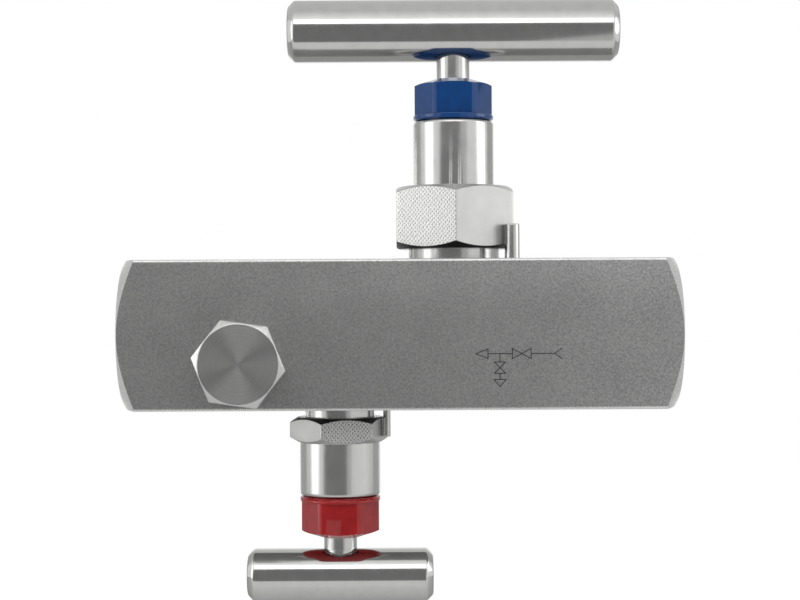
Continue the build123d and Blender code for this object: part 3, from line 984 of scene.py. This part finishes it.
def thread_coil(name, wall_radius, turns, foot):
    """A triangular ridge that winds along Z on the wall of a bore."""
    circle = bpy.ops.mesh.primitive_circle_add
    coil = start(name, circle, vertices=3, radius=MM, fill_type="NGON")
    root = wall_radius + THREAD_SUNK
    crest = wall_radius - THREAD_HEIGHT
    half = THREAD_PITCH * THREAD_FILL / 2
    for vertex, (radius, level) in zip(coil.data.vertices, [(root, half), (root, -half), (crest, 0)]):
        vertex.co = Vector((radius, 0, level + foot)) * MM
    climb = coil.modifiers.new("climb", "SCREW")
    climb.screw_offset = THREAD_PITCH * MM
    climb.iterations = turns
    climb.steps = climb.render_steps = 64
    climb.use_merge_vertices = False
    bpy.ops.object.modifier_apply(modifier=climb.name)
    bpy.ops.object.mode_set(mode="EDIT")
    bpy.ops.mesh.select_mode(type="VERT")
    bpy.ops.mesh.select_all(action="SELECT")
    bpy.ops.mesh.remove_doubles(threshold=1e-7)
    bpy.ops.mesh.select_all(action="DESELECT")
    bpy.ops.mesh.select_non_manifold(extend=False)
    bpy.ops.mesh.fill()
    bpy.ops.mesh.select_all(action="SELECT")
    bpy.ops.mesh.normals_make_consistent(inside=False)
    bpy.ops.object.mode_set(mode="OBJECT")
    return coil


thread_start = -THREAD_TURNS * THREAD_PITCH - THREAD_MOUTH
for side, way, place in (("inlet", 90, INLET_THREAD), ("outlet", -90, OUTLET_THREAD)):
    coil = thread_coil(side + "_thread", PORT_BORE / 2, THREAD_TURNS, thread_start)
    settle(coil, (0, way, 0), (place, 0, 0))
    shade(coil, 30)
    dress(coil, "bonnet_steel", "root")
    print(coil.name, "has", THREAD_TURNS, "turns of", round(THREAD_PITCH, 2), "mm")

# %% [markdown]
# ## The bonnets
#
# One bonnet is neck, hexagon and barrel in one piece of steel. A real nut has curved edges
# on its flats, because a cone turns its corners away. `nut` does the same: it keeps what a
# hexagon and a double cone share.

# %% Nut corners turned away
HEX_SLOPE = 30.0


def nut(name, flats, bottom, top, turned_by, face, both_ends=True):
    """A hexagon between two levels with its corners turned away by a cone."""
    beyond = flats / 2 / cos(radians(30)) + BEYOND
    drop = (beyond - face / 2) * tan(radians(HEX_SLOPE))
    lower = [(0, bottom), (beyond, bottom)]
    if both_ends:
        lower = [(0, bottom), (face / 2, bottom), (beyond, bottom + drop)]
    cone = turn("cone", [*lower, (beyond, top - drop), (face / 2, top), (0, top)], 144)
    bar = hexagon(name, flats, bottom - BEYOND, top + BEYOND, turned_by)
    return work(bar, cone, "INTERSECT")


# %% [markdown]
# The round parts come from one turned outline and are joined to the hexagon before the way
# for the stem is bored. Then the hexagon's own faces are painted: satin all over, one flat
# coarse, and the turned corners next to the block dark, a painted shade for the shadow that
# the block and the hexagon cast on them.

# %% Bonnet
BARREL, BARREL_ROUND = 17.45, 0.9
SPIGOT, SPIGOT_CHAMFER = 8.0, 0.5
GUIDE, BACK_SEAT, PACKING = 4.06, 4.56, 6.0  # radii of the way for the stem
BACK_SEAT_LEVEL, GUIDE_LEVEL = -0.2, 0.3
HEX_FACE = 0.95  # share of the flats that the turned face covers
HEX_CORE = 0.86  # share of the flats inside which no face belongs to the hexagon


def arc(centre, radius, first, last, count=6):
    """Points of an arc in the outline's plane, angles in degrees from the radial direction."""
    steps = [radians(first + (last - first) * i / count) for i in range(count + 1)]
    return [(centre[0] + radius * cos(a), centre[1] + radius * sin(a)) for a in steps]


def on_hexagon(valve, middle):
    """True for the hexagon's own faces: its flats and its turned corners."""
    out = Vector((middle.x, middle.y)).length
    between = valve.neck_height - 0.01 < middle.z < valve.hex_top + 0.01
    return between and out > valve.flats / 2 * HEX_CORE


def bonnet(valve):
    flats, low, high = valve.flats, valve.neck_height, valve.hex_top
    body = nut(valve.name + "_bonnet_body", flats, low, high, valve.hex_turn, flats * HEX_FACE)
    neck, barrel, top, half_way = valve.neck / 2, BARREL / 2, valve.barrel_top, (low + high) / 2
    rounded = arc((barrel - BARREL_ROUND, top - BARREL_ROUND), BARREL_ROUND, 0, 90)
    shaft = turn("shaft", [
        (0, -SPIGOT), (neck - SPIGOT_CHAMFER, -SPIGOT), (neck, -SPIGOT + SPIGOT_CHAMFER),
        (neck, half_way), (barrel, half_way), *rounded, (0, top),
    ], 144)
    work(body, shaft, "UNION")
    below, above, floor_level = -SPIGOT - BEYOND, top + BEYOND, valve.packing_floor
    way = turn("way", [
        (0, below), (BACK_SEAT, below), (BACK_SEAT, BACK_SEAT_LEVEL), (GUIDE, GUIDE_LEVEL),
        (GUIDE, floor_level), (PACKING, floor_level), (PACKING, above), (0, above),
    ])
    work(body, way)
    angle = radians(valve.coarse_flat)
    towards = Vector((cos(angle), sin(angle), 0))
    parts = {
        "hex_steel": lambda facing: True,
        valve.coarse_finish: lambda facing: facing.dot(towards) > 0.99,
        # the dark corners next to the block are a painted shade, not a finish of the steel
        "corner_painted_shade": lambda facing: facing.z < -0.5,
    }
    body.data.materials.append(finishes["bonnet_steel"])
    for name, chosen in parts.items():
        paint(body, name, lambda middle, facing: on_hexagon(valve, middle) and chosen(facing))
    soften(body, 0.14, split_large=True)
    valve.stand(body)
    return dress(body, None, "root", valve.name + "_bonnet")


for valve in VALVES:
    bonnet(valve)

# %% [markdown]
# ## The vent plug
#
# A hexagon with the corners of one end turned away, on a shank. Its face wears the faced
# finish, and the rest the satin one.

# %% Vent plug
PLUG_HEX, PLUG_HEAD, PLUG_DISC, PLUG_TURN = 17.0, 8.2, 16.5, -8.2
PLUG_SHANK, SHANK_CHAMFER, SHANK_ROOT = 7.6, 1.0, 2.0


def vent_plug():
    head = nut("plug", PLUG_HEX, 0, PLUG_HEAD, PLUG_TURN, PLUG_DISC, both_ends=False)
    wall = PORT_BORE / 2 - CLEARANCE
    shank = [
        (0, -PLUG_SHANK), (wall - SHANK_CHAMFER, -PLUG_SHANK), (wall, -PLUG_SHANK + SHANK_CHAMFER),
        (wall, SHANK_ROOT), (0, SHANK_ROOT),
    ]
    work(head, turn("shank", shank), "UNION")
    head.data.materials.append(finishes["hex_steel"])
    paint(head, "plug_steel", lambda middle, facing: facing.z > 0.99 and middle.z > PLUG_HEAD / 2)
    soften(head, 0.10)
    settle(head, (90, 0, 0), vent_place)
    return dress(head, None, "root", "vent_plug")


vent_plug()

# %% [markdown]
# ## The dust caps
#
# A moulded cap is a hexagon with round corners. The upright edges are bevelled while it is
# still a plain hexagon. Then its top is sloped, its lip is added and it is hollowed out.

# %% Dust cap
CAP_HEX, CAP_CORNER, CAP_SLOPE, CAP_DISC = 15.0, 0.8, 18.0, 8.4
CAP_LIP, CAP_LIP_HEIGHT, CAP_LIP_CHAMFER = 17.4, 1.1, 0.3
CAP_LIP_ROUND = 0.2
CAP_SOCKET, CAP_TOP_WALL, CAP_HOLE = 12.1, 1.75, 7.7


def dust_cap(valve, finish_name):
    low, high = valve.cap_bottom, valve.cap_top
    cap = hexagon(valve.name + "_cap", CAP_HEX, low, high + BEYOND)
    bevel_along(cap, 2, CAP_CORNER * tan(radians(30)), 5)
    rim, side, face = CAP_LIP / 2, CAP_LIP / 2 - CAP_LIP_CHAMFER, CAP_DISC / 2
    drop = (side - face) * tan(radians(CAP_SLOPE))
    slope = [(0, low), (side, low), (side, high - drop), (face, high), (0, high)]
    work(cap, turn("slope", slope, 144), "INTERSECT")
    lip_top = low + CAP_LIP_HEIGHT
    lip_edge = arc((rim - CAP_LIP_ROUND, lip_top - CAP_LIP_ROUND), CAP_LIP_ROUND, 0, 90, 4)
    lip = [(0, low), (side, low), (rim, low + CAP_LIP_CHAMFER), *lip_edge, (0, lip_top)]
    work(cap, turn("lip", lip, 144), "UNION")
    work(cap, hexagon("socket", CAP_SOCKET, low - BEYOND, high - CAP_TOP_WALL))
    work(cap, rod("hole", CAP_HOLE / 2, low - BEYOND, high + BEYOND))
    soften(cap, 0.2, 3, 24)
    valve.stand(cap)
    return dress(cap, finish_name, "root", replaces=valve.name + "_dust_cap")


dust_cap(isolation, "cap_blue")
dust_cap(bleed, "cap_red")
print("cap height:", round(isolation.cap_top - isolation.cap_bottom, 2), "mm")

# %% [markdown]
# ## The stems
#
# A stem is one turned outline: from the socket that holds the tip, out over the shoulder
# and the journal, to the end that sits in the handle. Starting and ending the outline on
# the axis closes it. A flat on the end gives the set screw its seat.

# %% Stem
SHOULDER, JOURNAL, STEM = 4.5, 4.0, 3.6  # radii
NECK_WAY, HEAD_WAY = 1.76, 2.76  # radii of the socket for the tip's neck and head
HEAD_TOP, HEAD_FLOOR = -6.24, -7.96
SHOULDER_LEVEL, JOURNAL_LEVEL = -3.4, -2.9
JOURNAL_REACH, STEM_CHAMFER, FLAT_DEPTH = 3.9, 0.4, 0.5


def stem(valve):
    journal_top, top = valve.barrel_top + JOURNAL_REACH, valve.stem_top
    end = valve.stem_end / 2
    outline = [
        (0, HEAD_TOP), (HEAD_WAY, HEAD_TOP), (HEAD_WAY, HEAD_FLOOR), (NECK_WAY, HEAD_FLOOR),
        (NECK_WAY, valve.stem_bottom), (SHOULDER, valve.stem_bottom), (SHOULDER, SHOULDER_LEVEL),
        (JOURNAL, JOURNAL_LEVEL), (JOURNAL, journal_top), (STEM, journal_top),
        (STEM, valve.bar_underside), (end, valve.bar_underside), (end, top - STEM_CHAMFER),
        (end - STEM_CHAMFER, top), (0, top),
    ]
    if end == STEM:
        outline.remove((STEM, valve.bar_underside))
    piece = turn(valve.name + "_stem_turned", outline)
    place = Vector((0, valve.stem_end - FLAT_DEPTH, valve.bar_axis)) * MM
    work(piece, start("flat", bpy.ops.mesh.primitive_cube_add, size=valve.stem_end * MM, location=place))
    soften(piece, 0.08)
    valve.stand(piece)
    return dress(piece, "stem_steel", valve.name + "_stem_body", replaces=valve.name + "_stem")


for valve in VALVES:
    print(stem(valve).name, "is", round(valve.stem_top - valve.stem_bottom, 2), "mm long")

# %% [markdown]
# ## The handles
#
# A handle is a polished bar. Its ends are chamfered and both edges of the chamfer are
# rounded, so the outline holds two small arcs at each end. The hole for the stem and the
# hole for the screw are cut afterwards, and their edges are broken with the rest.

# %% Handle bar and its screw
END_CHAMFER, END_ROUND = 1.4, 1.0
SCREW, SCREW_POINT, SCREW_EDGE, SCREW_INSET = 4.8, 0.5, 0.2, 0.5
SCREW_KEY, KEY_DEPTH = 2.5, 1.5


def bar_end(radius, length):
    """The outline of a bar's end: a chamfer between two small arcs."""
    tuck = END_ROUND * tan(radians(22.5))
    side = (radius - END_ROUND, length - END_CHAMFER - tuck)
    face = (radius - END_CHAMFER - tuck, length - END_ROUND)
    return [*arc(side, END_ROUND, 0, 45, 5), *arc(face, END_ROUND, 45, 90, 5)]


def handle(valve):
    radius, half = valve.bar_diameter / 2, valve.bar_length / 2
    end = bar_end(radius, half)
    outline = [(0, -half), *[(r, -level) for r, level in reversed(end)], *end, (0, half)]
    bar = turn(valve.name + "_handle", outline, 144)
    settle(bar, (0, 90, 0), (0, 0, valve.bar_axis))
    work(bar, rod("hole", valve.stem_end / 2 + CLEARANCE, 0, valve.stem_top + CLEARANCE))
    tapped = rod("tapped", SCREW / 2 + CLEARANCE, 0, -radius - BEYOND, 64)
    work(bar, settle(tapped, (90, 0, 0), (0, 0, valve.bar_axis)))
    soften(bar, 0.10)
    valve.stand(bar)
    return dress(bar, "handle_steel", valve.name + "_stem_body", replaces=valve.name + "_handle_bar")


def set_screw(valve):
    point, head = valve.stem_end / 2 - FLAT_DEPTH, valve.bar_diameter / 2 - SCREW_INSET
    wall = SCREW / 2
    screw = turn(valve.name + "_set_screw", [
        (0, point), (wall - SCREW_POINT, point), (wall, point + SCREW_POINT),
        (wall, head - SCREW_EDGE), (wall - SCREW_EDGE, head), (0, head),
    ], 64)
    work(screw, hexagon("key", SCREW_KEY, head - KEY_DEPTH, head + BEYOND))
    soften(screw, 0.05)
    settle(screw, (-90, 0, 0), (0, 0, valve.bar_axis))
    valve.stand(screw)
    return dress(screw, "screw_steel", valve.name + "_stem_body", replaces=valve.name + "_handle_screw")


for valve in VALVES:
    print(handle(valve).name, "and", set_screw(valve).name)

# %% [markdown]
# ## The lock pins
#
# A short pin beside each hexagon keeps the bonnet from unscrewing. It is driven into the
# block, and its outer end is a little rounded.

# %% Lock pin
PIN_CHAMFER, PIN_ROUND = 0.2, 0.25


def lock_pin(valve):
    radius, low, high = valve.pin_diameter / 2, valve.pin_bottom, valve.pin_top
    rounded = arc((radius - PIN_ROUND, high - PIN_ROUND), PIN_ROUND, 0, 90, 4)
    foot = [(0, low), (radius - PIN_CHAMFER, low), (radius, low + PIN_CHAMFER)]
    pin = turn(valve.name + "_pin", [*foot, *rounded, (0, high)], 64)
    shade(pin, 40)
    settle(pin, location=valve.pin_place())
    valve.stand(pin)
    return dress(pin, "pin_steel", "root", replaces=valve.name + "_lock_pin")


for valve in VALVES:
    print(lock_pin(valve).name, "stands", round(valve.pin_top, 2), "mm out of the block")
